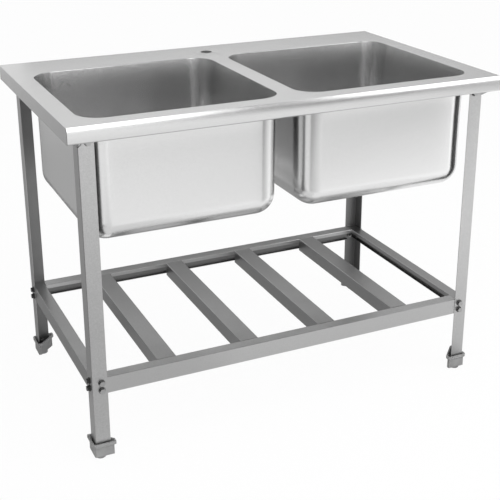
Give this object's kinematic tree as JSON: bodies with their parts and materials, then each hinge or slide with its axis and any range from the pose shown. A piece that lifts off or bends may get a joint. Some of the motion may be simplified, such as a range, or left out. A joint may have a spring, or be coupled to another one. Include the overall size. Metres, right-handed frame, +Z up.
{
  "type": "kitchen sink unit",
  "caption": "Free-standing stainless steel sink unit with deep square bowls, a tap hole and a slatted shelf on bolted angle legs with levelling feet.",
  "frame": {"origin": "on the floor under the middle of the unit, feet wound in", "axes": "+X to the right along the front, +Y from the front to the rear, +Z up"},
  "size_m": [1.2, 0.72, 0.9],
  "materials": {
    "top_steel": "satin",
    "bowl_steel": "satin",
    "frame_steel": "satin",
    "fastener_steel": "satin",
    "foot_grey": "fine cast texture",
    "drain_steel": "polished",
    "seal_rubber": "matt",
    "nut_plastic": "matt"
  },
  "bodies": {
    "root": {"sink_top": "top_steel", "front_stiffener": "frame_steel", "rear_stiffener": "frame_steel", "centre_stiffener": "frame_steel", "front_left_bracket": "frame_steel", "front_right_bracket": "frame_steel", "rear_left_bracket": "frame_steel", "rear_right_bracket": "frame_steel", "left_bowl": "bowl_steel", "right_bowl": "bowl_steel", "left_strainer_cup": "drain_steel", "left_tailpiece": "drain_steel", "left_upper_seal": "seal_rubber", "left_lower_seal": "seal_rubber", "left_clamp_nut": "nut_plastic", "right_strainer_cup": "drain_steel", "right_tailpiece": "drain_steel", "right_upper_seal": "seal_rubber", "right_lower_seal": "seal_rubber", "right_clamp_nut": "nut_plastic", "front_left_leg": "frame_steel", "front_right_leg": "frame_steel", "rear_left_leg": "frame_steel", "rear_right_leg": "frame_steel", "front_rail": "frame_steel", "rear_rail": "frame_steel", "left_rail": "frame_steel", "right_rail": "frame_steel", "shelf_slat_1": "frame_steel", "shelf_slat_2": "frame_steel", "shelf_slat_3": "frame_steel", "shelf_slat_4": "frame_steel", "top_bolts": "fastener_steel", "top_nuts": "fastener_steel", "shelf_bolts": "fastener_steel", "shelf_nuts": "fastener_steel", "foot_nuts": "fastener_steel", "front_left_shoe": "foot_grey", "front_right_shoe": "foot_grey", "rear_left_shoe": "foot_grey", "rear_right_shoe": "foot_grey"},
    "front_left_foot": {"front_left_pad": "foot_grey"},
    "front_left_screw": {"front_left_stem": "fastener_steel"},
    "front_right_foot": {"front_right_pad": "foot_grey"},
    "front_right_screw": {"front_right_stem": "fastener_steel"},
    "rear_left_foot": {"rear_left_pad": "foot_grey"},
    "rear_left_screw": {"rear_left_stem": "fastener_steel"},
    "rear_right_foot": {"rear_right_pad": "foot_grey"},
    "rear_right_screw": {"rear_right_stem": "fastener_steel"},
    "left_basket": {"left_strainer_basket": "drain_steel"},
    "right_basket": {"right_strainer_basket": "drain_steel"}
  },
  "joints": [
    {"name": "front_left_foot_slide", "type": "slide", "parent": "root", "child": "front_left_foot", "axis": [0, 0, -1], "range_m": [0, 0.018]},
    {"name": "front_left_screw_turn", "type": "hinge", "parent": "front_left_foot", "child": "front_left_screw", "pos_m": [-0.551, -0.3053, 0.01], "axis": [0, 0, -1], "range_deg": [0, 4320]},
    {"name": "front_right_foot_slide", "type": "slide", "parent": "root", "child": "front_right_foot", "axis": [0, 0, -1], "range_m": [0, 0.018]},
    {"name": "front_right_screw_turn", "type": "hinge", "parent": "front_right_foot", "child": "front_right_screw", "pos_m": [0.551, -0.3053, 0.01], "axis": [0, 0, -1], "range_deg": [0, 4320]},
    {"name": "rear_left_foot_slide", "type": "slide", "parent": "root", "child": "rear_left_foot", "axis": [0, 0, -1], "range_m": [0, 0.018]},
    {"name": "rear_left_screw_turn", "type": "hinge", "parent": "rear_left_foot", "child": "rear_left_screw", "pos_m": [-0.551, 0.3053, 0.01], "axis": [0, 0, -1], "range_deg": [0, 4320]},
    {"name": "rear_right_foot_slide", "type": "slide", "parent": "root", "child": "rear_right_foot", "axis": [0, 0, -1], "range_m": [0, 0.018]},
    {"name": "rear_right_screw_turn", "type": "hinge", "parent": "rear_right_foot", "child": "rear_right_screw", "pos_m": [0.551, 0.3053, 0.01], "axis": [0, 0, -1], "range_deg": [0, 4320]},
    {"name": "left_basket_lift", "type": "slide", "parent": "root", "child": "left_basket", "axis": [0, 0, 1], "range_m": [0, 0.06]},
    {"name": "right_basket_lift", "type": "slide", "parent": "root", "child": "right_basket", "axis": [0, 0, 1], "range_m": [0, 0.06]}
  ],
  "couplings": [
    {"joint": "front_left_screw_turn", "follows": "front_left_foot_slide", "rad_per_m": 4188.8},
    {"joint": "front_right_screw_turn", "follows": "front_right_foot_slide", "rad_per_m": 4188.8},
    {"joint": "rear_left_screw_turn", "follows": "rear_left_foot_slide", "rad_per_m": 4188.8},
    {"joint": "rear_right_screw_turn", "follows": "rear_right_foot_slide", "rad_per_m": 4188.8}
  ]
}
